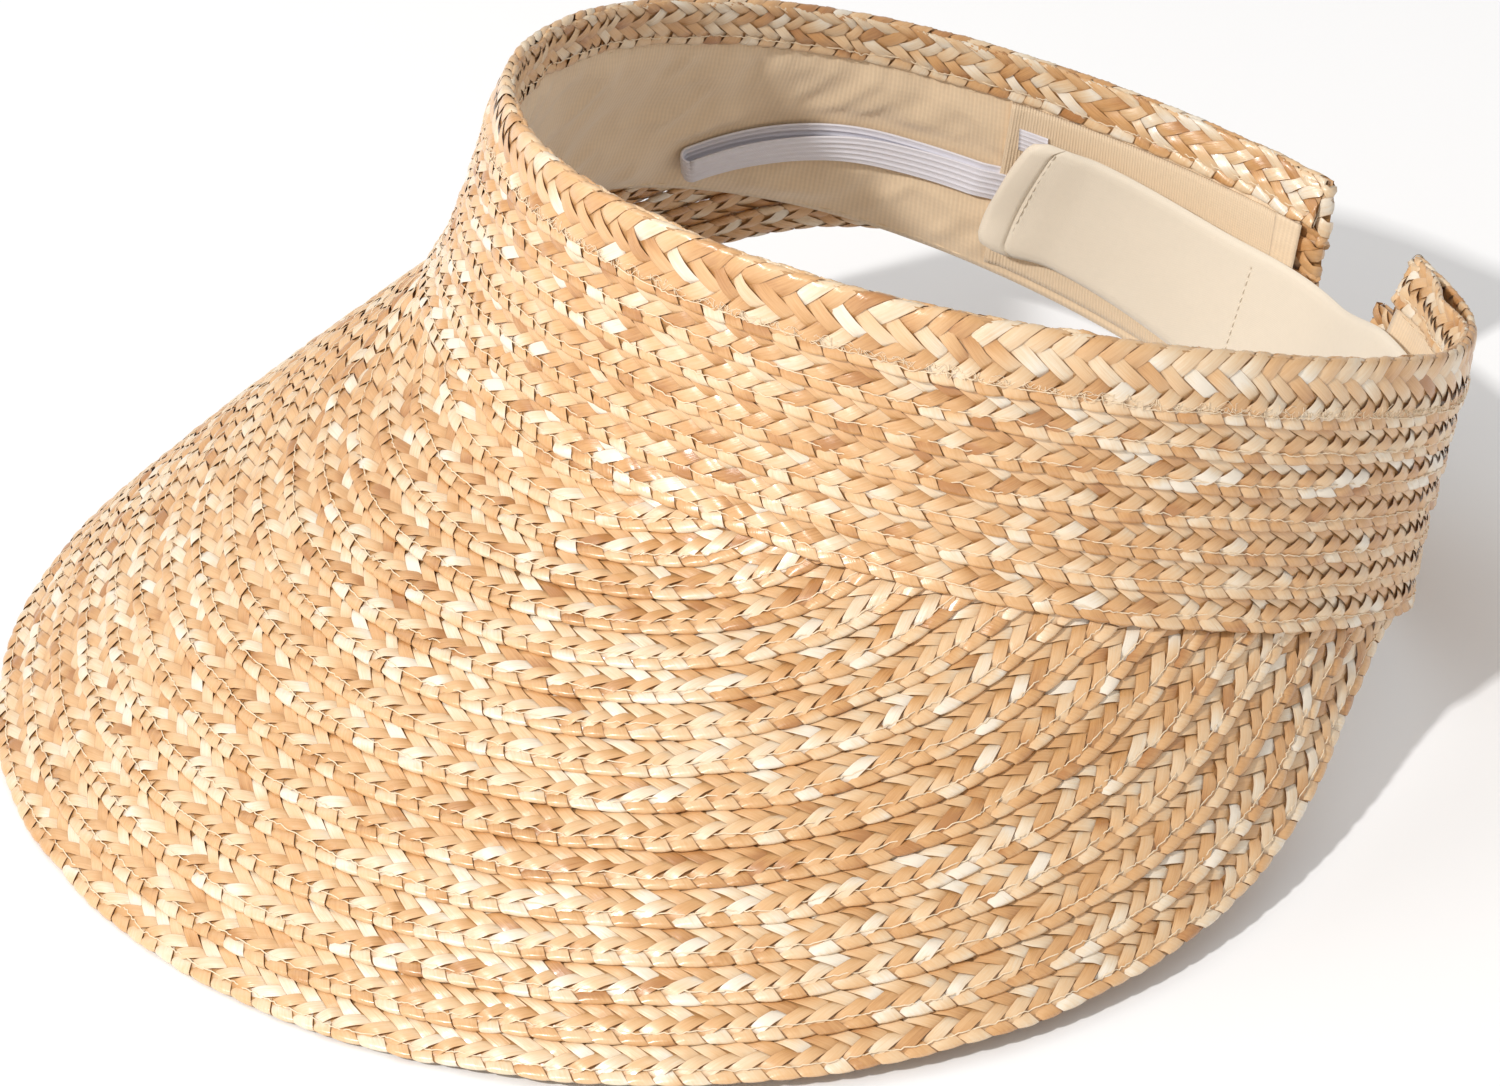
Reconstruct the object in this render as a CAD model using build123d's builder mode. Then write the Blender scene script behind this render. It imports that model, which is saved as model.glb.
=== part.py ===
from build123d import *
from math import cos, pi, radians, sin
import os

os.makedirs("parts", exist_ok=True)

# ---------------------------------------------------------------- driving dimensions (mm, degrees)
# Frame: +Z up, front of the brim toward -Y, the strap is sewn at the +X band end.
rim_half_x = 83.0          # crown oval at the top edge
rim_half_y = 100.0
rim_height = 91.0          # centre of the top edge above the table
rim_pitch = 19.5           # the top edge leans down toward the back
rim_saddle = -2.6          # front and back of the top edge dip, sides rise
end_near = 144.0           # band end angle on the +X side, 0 is the front
end_far = 166.0            # band end angle on the -X side
curl_near = 23.0           # how far the +X end curls inward
curl_span = 35.0

row_pitch = 7.0            # exposed width of one sewn plait row
row_lap = 1.5              # hidden width under the row above
plait_t = 1.0              # plait thickness
plait_gap = 0.3            # air between lapped rows
crown_rows = 7             # the top row shows double width
crown_h = row_pitch * (crown_rows + 1)
brim_rows = 17
brim_w = 116.0             # brim width at the front, measured along the surface
brim_end = 112.5           # angle where the outer edge runs in under the crown
brim_p = 2.19              # how the brim width falls off toward the sides
brim_q = 1.73

rest_turn = (-0.26, 1.88)   # small turns about X and Y that put the lowest points on the table
rest_shift = (6.4, 51.2, -1.83)

crown_set = 1.7            # crown rows sit this far outside the brim rows' base surface
tuck = 3.0                 # how far a brim row's lower edge runs in under the crown

lining_top = 9.5
lining_bottom = 54.5
lining_t = 0.8
patch_t = 0.7
seam_far = 121.5           # angle of the front seam of the loop patch
fold_depth = 9.2           # width of the top row turned over to the inside
stitch_t = 0.35            # thread that holds the lining
stitch_clear = 0.5         # the thread lies this far off the lining, since both are faceted lofts
stitch_end = 134.0         # where the thread stops, before the curled +X end

strap_t = 1.6
strap_w = 30.5
strap_high = 14.5          # strap upper edge at both ends, measured down from the crown's top edge
strap_dip = 3.5            # how much lower the strap runs between its ends
strap_root = 127.0         # angle where the strap starts inside the +X band
strap_pivot = 141.5        # angle of the line the strap peels about
strap_free = 241.0         # free end, counted on past the +X end and round to the -X side
strap_slant = 6.0          # the free end leans back by this angle at its top
hook_t = 0.5
hook_from = 205.0
hook_to = 232.0
hem_w = 3.0                # rolled free end, in degrees of the oval

elastic_w = 7.2
elastic_t = 0.7
elastic_pivot = -117.6     # angle where the elastic leaves the strap's edge
elastic_turn = -86.8       # angle where the two plies turn into each other
elastic_drop = 0.9         # the inner ply hangs this much lower than the outer one
elastic_off = -2.0         # the outer ply lies on the lining


# ---------------------------------------------------------------- base surface
def smooth(u):
    u = min(max(u, 0.0), 1.0)
    return u * u * (3 - 2 * u)


def rim_point(a):
    """Top edge of the crown at angle a; angles past 160 count on to the -X side."""
    t = radians(a)
    k = (max(a - end_near + curl_span, 0.0) / curl_span) ** 2 if a < 160.0 else 0.0
    x = rim_half_x * sin(t) - curl_near * k
    y = -rim_half_y * cos(t)
    z = rim_saddle * cos(2 * t)
    p = radians(rim_pitch)
    return Vector(x, y * cos(p) + z * sin(p), rim_height - y * sin(p) + z * cos(p))


def outward(a):
    d = rim_point(a + 0.1) - rim_point(a - 0.1)
    return Vector(d.Y, -d.X, 0).normalized()


def lean(a, v):
    """Slope of the surface from the vertical, v below the top edge along the surface."""
    t = radians(a)
    c, c2, s = cos(t), cos(2 * t), sin(t)
    crown = 1.9 + 11.1 * c - 11.3 * c2 - 13.8 * s
    brim = 16.0 + 60.0 * c - 11.4 * c2 + 4.9 * s
    droop = -8.5 - 7.0 * c
    r = 21.0 - 4.7 * c
    wrapped = abs((a + 180.0) % 360.0 - 180.0)
    m = smooth((v - crown_h + r) / (2 * r)) * (1 - smooth((wrapped - brim_end) / 35.0))
    f = crown * (1 - m) + brim * m + droop * min(max((v - crown_h) / 110.0, 0.0), 2.0)
    return radians(f)


def base_point(a, v):
    n = max(4, int(abs(v) / 4.0) + 1)
    dv = v / n
    out = 0.0
    down = 0.0
    for i in range(n):
        f = lean(a, (i + 0.5) * dv)
        out += sin(f) * dv
        down += cos(f) * dv
    return rim_point(a) + outward(a) * out - Vector(0, 0, down)


def across(a, v):
    return (base_point(a + 0.2, v) - base_point(a - 0.2, v)) * (1 / 0.4)


def along(a, v):
    return outward(a) * sin(lean(a, v)) - Vector(0, 0, cos(lean(a, v)))


def normal(a, v):
    n = across(a, v).cross(along(a, v)).normalized()
    return n if n.dot(outward(a) + Vector(0, 0, 0.5)) > 0 else n * -1


def placed(p):
    """From the shell's own axes into the resting frame."""
    return turned(p) + Vector(*rest_shift)


def turned(d):
    return d.rotate(Axis.Y, rest_turn[1]).rotate(Axis.X, rest_turn[0])


def lifted(a, v, off):
    return placed(base_point(a, v) + normal(a, v) * off)


def lift_dir(a, v):
    return turned(normal(a, v))


# ---------------------------------------------------------------- strips
def section(low, high, lift):
    """Plane of a strip section: x runs from the lower edge to the upper edge, y is outward."""
    x = high - low
    z = x.cross(lift)
    return Plane(origin=low, x_dir=x, z_dir=z), x.length


def strip(stations, t):
    """Thin strip through sections given as (lower point, upper point, outward direction)."""
    with BuildPart() as s:
        for low, high, lift in stations:
            plane, w = section(low, high, lift)
            with BuildSketch(plane):
                Rectangle(w, t, align=(Align.MIN, Align.MIN))
        loft()
    return s


def spread(start, stop, step):
    n = max(3, int(round(abs(stop - start) / step)))
    return [start + (stop - start) * i / n for i in range(n + 1)]


def band(start, stop, v_low, v_high, off_low, off_high, t, step=7.0):
    """Strip of the crown between two angles; the edges and offsets may be numbers or functions."""
    def val(f, a):
        return f(a) if callable(f) else f
    st = []
    for a in spread(start, stop, step):
        lo, hi = val(v_low, a), val(v_high, a)
        low = lifted(a, lo, val(off_low, a))
        high = lifted(a, hi, val(off_high, a))
        st.append((low, high, lift_dir(a, (lo + hi) / 2)))
    return strip(st, t)


tilt = (plait_t + plait_gap) / row_pitch

# ---------------------------------------------------------------- crown rows
for k in range(1, crown_rows + 1):
    top = 0.0 if k == 1 else row_pitch * k - row_lap
    low = row_pitch * (k + 1)
    if k == crown_rows:
        o_low, o_top = crown_set + 1.15, crown_set - 0.25
    else:
        o_low = crown_set + plait_t + plait_gap
        o_top = crown_set if k == 1 else crown_set - row_lap * tilt
    last = end_near + (2.0 if k == 1 else 4.0)
    crown_row = band(-end_far, last, low, top, o_low, o_top, plait_t)
    crown_row.part.label = f"crown_row_{k}"
    export_step(crown_row.part, f"parts/crown_row_{k}.step")

# top row turned over to the inside of the crown
def fold_off(a):
    """The turned-over ply opens at the top in a leaf-shaped slit just before the +X end."""
    return 0.5 - 3.2 * smooth(1 - abs(a - 135.0) / 9.0)


rim_fold = band(-end_far + 1, end_near + 1, fold_depth, 0.4, 0.5, fold_off, plait_t, 3.0)
rim_fold.part.label = "rim_fold"
export_step(rim_fold.part, "parts/rim_fold.step")


# ---------------------------------------------------------------- brim rows
def brim_width(a):
    u = min(abs(a) / brim_end, 1.0)
    return brim_w * (1 - u ** brim_p) ** brim_q


def march(curve, step):
    """Move every point of a curve on the surface inward, square to the curve."""
    pts = [base_point(a, v) for a, v in curve]
    n = len(curve)
    new = []
    for i, (a, v) in enumerate(curve):
        t = pts[min(i + 1, n - 1)] - pts[max(i - 1, 0)]
        xa, xv = across(a, v), along(a, v)
        k = xv.dot(t) / xa.dot(t)
        b = step / (xv - xa * k).length
        new.append((a + b * k, v - b))
    return new


def end_cut(curve, limit):
    """First and last position (as fractions of the index) where the curve is below the limit."""
    inside = [i for i, (a, v) in enumerate(curve) if v >= limit]
    if len(inside) < 3:
        return None
    i, j = inside[0], inside[-1]
    lo, hi = float(i), float(j)
    if i > 0:
        v0, v1 = curve[i - 1][1], curve[i][1]
        lo = i - (v1 - limit) / (v1 - v0)
    if j < len(curve) - 1:
        v0, v1 = curve[j + 1][1], curve[j][1]
        hi = j + (v1 - limit) / (v1 - v0)
    return lo, hi


def at(curve, u):
    i = min(int(u), len(curve) - 2)
    f = u - i
    (a0, v0), (a1, v1) = curve[i], curve[i + 1]
    return a0 + (a1 - a0) * f, v0 + (v1 - v0) * f


edge_n = 96
edge = []
for i in range(edge_n + 1):
    a = -brim_end * cos(pi * i / edge_n) * 0.998
    edge.append((a, crown_h + brim_width(a)))

lower = edge
for k in range(brim_rows, 0, -1):
    upper = march(march(lower, row_pitch / 2), row_pitch / 2)
    lapped = march(upper, row_lap)
    cut = end_cut(lower, crown_h - tuck)
    if cut is None:
        break
    n = max(8, int((cut[1] - cut[0]) / 2.4))
    stations = []
    for i in range(n + 1):
        u = cut[0] + (cut[1] - cut[0]) * i / n
        al, vl = at(lower, u)
        ah, vh = at(lapped, u)
        low = lifted(al, vl, row_pitch * tilt)
        high = lifted(ah, vh, -row_lap * tilt)
        stations.append((low, high, lift_dir((al + ah) / 2, (vl + vh) / 2)))
    brim_row = strip(stations, plait_t)
    brim_row.part.label = f"brim_row_{k:02d}"
    export_step(brim_row.part, f"parts/brim_row_{k:02d}.step")
    lower = upper


# ---------------------------------------------------------------- lining
def lining_off(v):
    """Outer face of the lining: close to the top fold, then inside the tucked brim rows."""
    return 0.2 - 1.0 * min((v - lining_top) / 34.0, 1.0)


def curved(stations, depth_at, t):
    """Strip that follows the surface: stations are functions of v giving the angle."""
    with BuildPart() as s:
        for angle, vs in stations:
            inner = [lifted(angle(v), v, depth_at(v)) for v in vs]
            outer = [lifted(angle(v), v, depth_at(v) + t) for v in vs]
            mid = vs[len(vs) // 2]
            plane, w = section(inner[0], inner[-1], lift_dir(angle(mid), mid))
            q_in = [plane.to_local_coords(p) for p in inner]
            q_out = [plane.to_local_coords(p) for p in outer]
            p_in = [(q.X, q.Y) for q in q_in]
            p_out = [(q.X, q.Y) for q in q_out]
            with BuildSketch(plane):
                with BuildLine():
                    Spline(*p_in)
                    Line(p_in[-1], p_out[-1])
                    Spline(*reversed(p_out))
                    Line(p_out[0], p_in[0])
                make_face()
        loft()
    return s


def levels(v0, v1, n=5):
    return [v0 + (v1 - v0) * i / n for i in range(n + 1)]


def fixed(a):
    return lambda v: a


far_in, near_in = -end_far + 3.0, end_near + 0.5
lining = curved([(fixed(a), levels(lining_bottom, lining_top)) for a in spread(far_in, near_in, 7.0)],
                lambda v: lining_off(v) - lining_t, lining_t)
lining.part.label = "sweatband"
export_step(lining.part, "parts/sweatband.step")

# loop-fabric end piece on the inside of the lining, its front edge runs slantwise
patch_low, patch_high = 52.0, 10.5
patch_last = far_in + 3.0


def patch_off(v):
    return lining_off(v) - lining_t - 0.1 - patch_t


def patch_angle(f):
    def angle(v):
        front = -seam_far - 1.0 + 2.0 * (v - patch_high) / (patch_low - patch_high)
        return front + f * (patch_last - front)
    return angle


patch = curved([(patch_angle(i / 8), levels(patch_low, patch_high)) for i in range(9)], patch_off, patch_t)
patch.part.label = "loop_patch"
export_step(patch.part, "parts/loop_patch.step")

hem_angles = spread(far_in + 0.3, patch_last - 0.2, 0.9)
patch_hem = curved([(fixed(a), levels(patch_low, patch_high)) for a in hem_angles],
                   lambda v: patch_off(v) - 0.5, patch_t + 0.5)
patch_hem.part.label = "patch_end_hem"
export_step(patch_hem.part, "parts/patch_end_hem.step")

# thread runs holding the lining: one under the top edge, one above the bottom edge
for name, v0 in (("lining_stitch_top", lining_top + 1.4), ("lining_stitch_bottom", lining_bottom - 1.2)):
    o = lining_off(v0) - lining_t - stitch_clear - stitch_t
    first = -(seam_far - 3.0)
    thread = band(first, stitch_end, v0 + 0.3, v0 - 0.3, o, o, stitch_t, 3.5)
    thread.part.label = name
    export_step(thread.part, f"parts/{name}.step")

# straw turned in at the two band ends
turns = (("end_turn_far", -end_far + 0.1, far_in - 0.3), ("end_turn_near", near_in + 0.4, end_near + 3.9))
for name, a0, a1 in turns:
    turn = curved([(fixed(a), levels(55.0, fold_depth + 0.8)) for a in spread(a0, a1, 1.2)],
                  lambda v: -0.2 - 0.25 * smooth((v - 20) / 30), plait_t)
    turn.part.label = name
    export_step(turn.part, f"parts/{name}.step")


# ---------------------------------------------------------------- strap
def strap_top(a):
    return strap_high + strap_dip * (smooth((233.0 - a) / 30.0) - smooth((170.0 - a) / 30.0))


def strap_face(a):
    """Outer face of the strap: on the lining at the root, on the hook tape, then over the elastic's root."""
    return -2.2 - 1.4 * smooth((a - 148) / 48) - 0.85 * smooth((a - 231) / 5)


gap_from, gap_to = 143.0, 200.0


def strap_edge(a, v, off):
    """Point on the strap; between the two band ends it runs free in a smooth curve."""
    if gap_from < a < gap_to:
        p0, p1 = strap_edge(gap_from, v, off), strap_edge(gap_to, v, off)
        d0 = (p0 - strap_edge(gap_from - 1.0, v, off)).normalized()
        d1 = (strap_edge(gap_to + 1.0, v, off) - p1).normalized()
        u = (a - gap_from) / (gap_to - gap_from)
        m = (p1 - p0).length
        return (p0 * (2 * u ** 3 - 3 * u ** 2 + 1) + d0 * (m * (u ** 3 - 2 * u ** 2 + u))
                + p1 * (3 * u ** 2 - 2 * u ** 3) + d1 * (m * (u ** 3 - u ** 2)))
    return lifted(a, v, off)


def strap_pair(a, slant, inset_low, inset_high, off):
    low = strap_edge(a, strap_top(a) + strap_w - inset_low, off)
    high = strap_edge(a - slant, strap_top(a - slant) + inset_high, off)
    return low, high


def strap_strip(start, stop, slant0, slant1, inset_low, inset_high, off, t, step=5.0):
    st = []
    for a in spread(start, stop, step):
        slant = slant0 + (slant1 - slant0) * (a - start) / (stop - start)
        low, high = strap_pair(a, slant, inset_low, inset_high, off(a) - t)
        near, far = (strap_pair(a + d, slant, inset_low, inset_high, off(a) - t) for d in (-0.4, 0.4))
        ahead = far[0] + far[1] - near[0] - near[1]
        lift = (high - low).cross(ahead).normalized()
        mid = Vector(*rest_shift)
        out = Vector(low.X + high.X - 2 * mid.X, low.Y + high.Y - 2 * mid.Y, 0)
        st.append((low, high, lift if lift.dot(out) > 0 else lift * -1))
    return strip(st, t)


strap_end = strap_strip(strap_root, strap_pivot - 0.3, 0, 0, 0, 0, strap_face, strap_t)
strap_end.part.label = "strap_root"
export_step(strap_end.part, "parts/strap_root.step")

strap = strap_strip(strap_pivot + 0.3, strap_free, 0, strap_slant, 0, 0, strap_face, strap_t, 2.5)
strap.part.label = "strap_panel"
export_step(strap.part, "parts/strap_panel.step")

hook = strap_strip(hook_from, hook_to, 0, strap_slant - 1, 3.5, 3.5, lambda a: -2.75, hook_t)
hook.part.label = "hook_patch"
export_step(hook.part, "parts/hook_patch.step")

hem = strap_strip(strap_free - hem_w, strap_free, strap_slant, strap_slant, 0.3, 0.3,
                  lambda a: strap_face(a) - strap_t - 0.25, 1.1, 0.7)
hem.part.label = "strap_hem"
export_step(hem.part, "parts/strap_hem.step")

seam_at = strap_free - hem_w - 0.5
stitch = strap_strip(seam_at - 0.35, seam_at, strap_slant, strap_slant, 1.5, 1.5,
                     lambda a: strap_face(a) - strap_t - 0.3, 0.4, 0.1)
stitch.part.label = "strap_stitch"
export_step(stitch.part, "parts/strap_stitch.step")


# ---------------------------------------------------------------- elastic
def elastic_v(a):
    return 31.0 + 14.0 * (max(a + 108.0, 0.0) / 22.0) ** 2


def elastic_gap(a):
    return elastic_t + 0.3 + 1.9 * smooth((a - elastic_pivot) / 24.0)


def elastic_frame(a, off, drop=0.0):
    c = lifted(a, elastic_v(a) + drop, off)
    ahead = lifted(a + 0.3, elastic_v(a + 0.3) + drop, off)
    behind = lifted(a - 0.3, elastic_v(a - 0.3) + drop, off)
    t = (ahead - behind).normalized()
    n = lift_dir(a, elastic_v(a))
    n = (n - t * n.dot(t)).normalized()
    return c, t, n, t.cross(n)


def elastic_station(c, w, lift):
    w = w * (1 if w.Z < 0 else -1)
    return c + w * (elastic_w / 2), c - w * (elastic_w / 2), lift


def ply_angles():
    """Angles from the pivot to the turn, closer together toward the turn."""
    angles, step = [elastic_turn], 0.3
    while angles[-1] - step > elastic_pivot + 1.2:
        angles.append(angles[-1] - step)
        step = min(step * 1.5, 2.4)
    return [elastic_pivot] + angles[::-1]


plies = []
for a in ply_angles():
    c, t, n, w = elastic_frame(a, elastic_off - elastic_t)
    plies.append(elastic_station(c, w, n))
c, t, n, w = elastic_frame(elastic_turn, elastic_off - elastic_t)
down = (w if w.Z < 0 else w * -1) * elastic_drop
r = elastic_gap(elastic_turn) / 2 - elastic_t / 2
for i in range(1, 8):
    f = pi * i / 8
    lift = n * cos(f) + t * sin(f)
    plies.append(elastic_station(c - n * r + lift * r + down * (i / 8), w, lift))
for a in reversed(ply_angles()):
    c, t, n, w = elastic_frame(a, elastic_off - elastic_gap(a), elastic_drop)
    plies.append(elastic_station(c, w, n * -1))
elastic = strip(plies, elastic_t)
elastic.part.label = "elastic_loop"
export_step(elastic.part, "parts/elastic_loop.step")

root_t = elastic_gap(elastic_pivot) + elastic_t
root_stations = []
for a in spread(-seam_far + 1.6, elastic_pivot - 0.5, 0.6):
    c, t, n, w = elastic_frame(a, elastic_off - root_t, elastic_drop / 2)
    root_stations.append(elastic_station(c, w, n))
root = strip(root_stations, root_t)
root.part.label = "elastic_root"
export_step(root.part, "parts/elastic_root.step")

tail = band(-127.2, -123.6, 21.0, 12.8, patch_off(21.0) - 0.7, patch_off(12.8) - 0.7, 0.6, 1.2)
tail.part.label = "elastic_tail"
export_step(tail.part, "parts/elastic_tail.step")
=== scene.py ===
import bmesh
import bpy
import math
import numpy as np
from mathutils import Matrix, Vector


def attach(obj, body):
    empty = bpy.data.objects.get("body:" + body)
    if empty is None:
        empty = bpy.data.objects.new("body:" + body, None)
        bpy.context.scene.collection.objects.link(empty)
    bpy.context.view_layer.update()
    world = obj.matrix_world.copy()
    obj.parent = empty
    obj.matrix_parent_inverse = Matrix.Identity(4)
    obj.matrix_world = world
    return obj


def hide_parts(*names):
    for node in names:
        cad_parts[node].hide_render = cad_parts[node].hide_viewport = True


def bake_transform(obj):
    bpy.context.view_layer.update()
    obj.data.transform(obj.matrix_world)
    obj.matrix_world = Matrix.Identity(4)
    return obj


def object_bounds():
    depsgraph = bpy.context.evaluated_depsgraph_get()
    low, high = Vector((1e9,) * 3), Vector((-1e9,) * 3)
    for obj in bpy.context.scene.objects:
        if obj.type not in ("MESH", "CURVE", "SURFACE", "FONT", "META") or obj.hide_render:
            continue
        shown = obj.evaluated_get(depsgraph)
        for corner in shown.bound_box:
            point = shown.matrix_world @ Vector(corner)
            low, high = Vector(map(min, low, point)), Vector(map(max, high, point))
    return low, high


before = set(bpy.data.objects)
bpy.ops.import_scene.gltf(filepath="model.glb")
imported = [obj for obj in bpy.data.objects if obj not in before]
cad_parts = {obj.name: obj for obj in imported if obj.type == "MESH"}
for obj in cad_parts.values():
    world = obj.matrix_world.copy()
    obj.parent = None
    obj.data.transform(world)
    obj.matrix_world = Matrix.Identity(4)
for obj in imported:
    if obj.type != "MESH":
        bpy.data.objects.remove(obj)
cad_box = [list(c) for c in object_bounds()]
rng = np.random.default_rng(7)

# ------------------------------------------------------------------ dimensions of the frame (mm, degrees)
RIM_X, RIM_Y, RIM_Z, PITCH, SADDLE = 83.0, 100.0, 91.0, 19.5, -2.6
END_NEAR, END_FAR, CURL, CURL_SPAN = 144.0, 166.0, 23.0, 35.0
ROW, LAP, PLY, AIR = 7.0, 1.5, 1.0, 0.3
CROWN_ROWS, BRIM_ROWS, BRIM_W, BRIM_END = 7, 17, 116.0, 112.5
BRIM_P, BRIM_Q = 2.19, 1.73
CROWN_H = ROW * (CROWN_ROWS + 1)
TURN_X, TURN_Y = math.radians(-0.26), math.radians(1.88)
SHIFT = np.array([6.4, 51.2, -1.83])
SET, TUCK = 1.7, 3.0
LIN_TOP, LIN_LOW, LIN_T, PATCH_T, SEAM = 9.5, 54.5, 0.8, 0.7, 121.5
FAR_IN, NEAR_IN = -END_FAR + 3.0, END_NEAR + 0.5
STRAP_T, STRAP_W, STRAP_HIGH, STRAP_DIP = 1.6, 30.5, 14.5, 3.5
STRAP_A, STRAP_PIVOT, STRAP_B, SLANT = 127.0, 141.5, 241.0, 6.0
ELA_W, ELA_T, ELA_PIVOT, ELA_TURN, ELA_OFF, ELA_DROP = 7.2, 0.7, -117.6, -86.8, -2.0, 0.9
TILT = (PLY + AIR) / ROW
SLIT = 135.0                                    # middle of the slit that opens in the +X end's top edge
BAND_MIDDLE = np.array([6.4, 51.2, 60.0])       # a point inside the crown
PATCH_LOW, PATCH_HIGH, PATCH_LAST = 52.0, 10.5, FAR_IN + 3.0
GAP0, GAP1 = 143.0, 200.0                       # the strap crosses the back opening between these angles

# straw
CROWN_PITCH, BRIM_PITCH, FOLD_PITCH = 4.6, 4.65, 4.4      # one crossing to the next, along the row
STRAW_FLAT = PLY - 0.42                         # height of a straw's edge over the strip's inner face
# share of straws up to here, mean tone and spread, from mid to pale to dark
STRAW_TONES = ((0.46, 0.42, 0.10), (0.86, 0.74, 0.13), (1.0, 0.22, 0.08))
TONE_SWING = 0.24                               # how much one crossing's tone changes along it
CORDS = 5                                       # cords in the elastic

# light and camera (m)
KEY_AT, KEY_SIZE, KEY_WATTS, KEY_COLOUR = (0.51, -1.90, 1.54), (0.13, 0.13), 47, (1.0, 0.98, 0.955)
FILL_AT, FILL_SIZE, FILL_WATTS, FILL_COLOUR = (-0.9, -0.5, 1.3), (1.2, 1.2), 3.5, (1.0, 0.99, 0.97)
LIGHTS_AIM = (0.0, 0.02, 0.05)
SKY_COLOUR, SKY_STRENGTH = (1.0, 0.985, 0.97, 1), 0.61
FLOOR_COLOUR = (0.93, 0.935, 0.945, 1)
CAM_AT, CAM_LOOK, CAM_UP = (0.8973, -0.6014, 0.6311), (-0.7263, 0.4839, -0.4882), (-0.3920, 0.2919, 0.8724)
CAM_LENS, CAM_SENSOR = 160, 36

# where the half crossings of the plait lie across a row, from its lower rim; the top row is laid wider
LEVELS = 1.42 * np.arange(-2, 9)
TOP_LEVELS = np.array([-3.0, -1.5, 0.0, 1.5, 3.0, 4.7, 6.6, 8.7, 10.9, 13.0, 15.0])


# ------------------------------------------------------------------ the shell's surface, as the CAD has it
def smooth(u):
    u = np.clip(u, 0.0, 1.0)
    return u * u * (3 - 2 * u)


def unit(v):
    return v / np.linalg.norm(v, axis=-1, keepdims=True)


def rim_point(a):
    a = np.asarray(a, float)
    t = np.radians(a)
    k = np.where(a < 160.0, (np.maximum(a - END_NEAR + CURL_SPAN, 0.0) / CURL_SPAN) ** 2, 0.0)
    x = RIM_X * np.sin(t) - CURL * k
    y = -RIM_Y * np.cos(t)
    z = SADDLE * np.cos(2 * t)
    p = math.radians(PITCH)
    return np.stack([x, y * math.cos(p) + z * math.sin(p), RIM_Z - y * math.sin(p) + z * math.cos(p)], -1)


def outward(a):
    d = rim_point(np.asarray(a) + 0.1) - rim_point(np.asarray(a) - 0.1)
    return unit(np.stack([d[..., 1], -d[..., 0], np.zeros_like(d[..., 0])], -1))


def lean(a, v):
    t = np.radians(a)
    c, c2, s = np.cos(t), np.cos(2 * t), np.sin(t)
    crown = 1.9 + 11.1 * c - 11.3 * c2 - 13.8 * s
    brim = 16.0 + 60.0 * c - 11.4 * c2 + 4.9 * s
    droop = -8.5 - 7.0 * c
    r = 21.0 - 4.7 * c
    wrapped = np.abs((a + 180.0) % 360.0 - 180.0)
    m = smooth((v - CROWN_H + r) / (2 * r)) * (1 - smooth((wrapped - BRIM_END) / 35.0))
    return np.radians(crown * (1 - m) + brim * m + droop * np.clip((v - CROWN_H) / 110.0, 0.0, 2.0))


def base(a, v):
    a, v = np.broadcast_arrays(np.asarray(a, float), np.asarray(v, float))
    n = 40
    mid = (np.arange(n) + 0.5) / n
    f = lean(a[..., None], v[..., None] * mid)
    out = np.sin(f).mean(-1) * v
    down = np.cos(f).mean(-1) * v
    return rim_point(a) + outward(a) * out[..., None] - np.stack([0 * down, 0 * down, down], -1)


def across(a, v):
    return (base(a + 0.2, v) - base(a - 0.2, v)) / 0.4


def along(a, v):
    f = lean(a, v)
    o = outward(a) * np.sin(f)[..., None]
    o[..., 2] -= np.cos(f)
    return o


def normal(a, v):
    n = unit(np.cross(across(a, v), along(a, v)))
    side = (n * (outward(a) + np.array([0, 0, 0.5]))).sum(-1, keepdims=True)
    return np.where(side > 0, n, -n)


def turned(d):
    x, y, z = d[..., 0], d[..., 1], d[..., 2]
    c, s = math.cos(TURN_Y), math.sin(TURN_Y)
    x, z = x * c + z * s, -x * s + z * c
    c, s = math.cos(TURN_X), math.sin(TURN_X)
    return np.stack([x, y * c - z * s, y * s + z * c], -1)


def lifted(a, v, off):
    a, v, off = np.broadcast_arrays(*(np.asarray(q, float) for q in (a, v, off)))
    return turned(base(a, v) + normal(a, v) * off[..., None]) + SHIFT


def lift_dir(a, v):
    a, v = np.broadcast_arrays(np.asarray(a, float), np.asarray(v, float))
    return turned(normal(a, v))


# ------------------------------------------------------------------ a strip to lay plait on
class Path:
    """A band of the shell: s runs along it, w across from its lower edge, h outward from its inner face."""

    def __init__(self, low, high, lift, uneven=1.0):
        x = high - low
        width = np.linalg.norm(x, axis=-1)
        x = unit(x)
        lift = unit(lift - x * (lift * x).sum(-1, keepdims=True))
        mid = (low + high) / 2
        d = np.concatenate([[0], np.cumsum(np.linalg.norm(np.diff(mid, axis=0), axis=1))])
        self.length = float(d[-1])
        self.width = float(width.mean())
        self.d = d
        self.table = np.concatenate([low, x, lift], axis=1)
        self.knots = np.linspace(0, self.length, max(int(self.length / 7.0), 3))
        self.wob = rng.standard_normal((3, len(self.knots))) * np.array([[0.55], [0.16], [0.09]]) * uneven

    def at(self, s, w, h):
        shape = np.shape(s)
        s = np.ravel(s)
        fade = smooth(np.minimum(s, self.length - s) / 6.0)
        drift, dw, dh = (np.interp(s, self.knots, row) * fade for row in self.wob)
        c = np.stack([np.interp(s + drift, self.d, self.table[:, i]) for i in range(9)], 1)
        x, n = unit(c[:, 3:6]), unit(c[:, 6:9])
        p = c[:, :3] + x * (np.ravel(w) + dw)[:, None] + n * (np.ravel(h) + dh)[:, None]
        return p.reshape(shape + (3,))


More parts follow.
